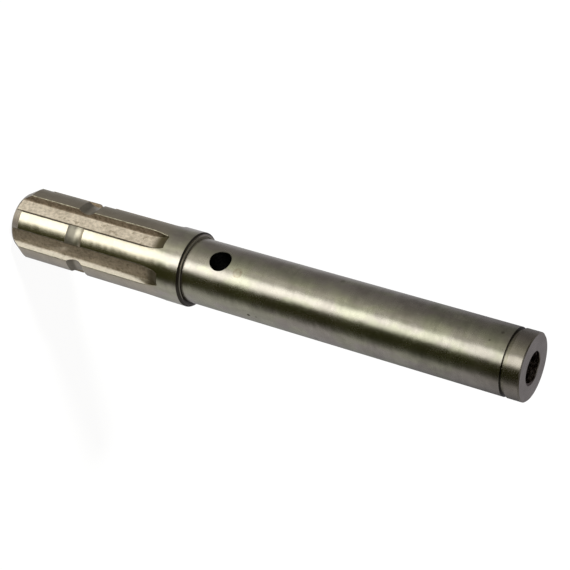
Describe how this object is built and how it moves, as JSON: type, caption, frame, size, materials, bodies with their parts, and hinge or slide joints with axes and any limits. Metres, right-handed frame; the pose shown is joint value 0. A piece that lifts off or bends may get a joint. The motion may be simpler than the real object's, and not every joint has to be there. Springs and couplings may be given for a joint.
{
  "type": "splined shaft",
  "caption": "Straight steel drive shaft with a straight-sided splined head, a shoulder, a plain ground journal with a cross hole and ring groove, and a tapped end.",
  "frame": {"origin": "centre of the splined end face, on which the shaft stands", "axes": "+Z along the shaft, from the splined end to the tapped end; -Y out of the front mouth of the cross hole; a tooth is centred on +X"},
  "size_m": [0.0348, 0.0348, 0.26],
  "materials": {
    "ground_steel": "ground and oiled bright steel on the outside diameters, rougher milled steel with cutter marks in the spline spaces"
  },
  "bodies": {
    "root": {"splined_shaft": "ground_steel"}
  },
  "joints": []
}
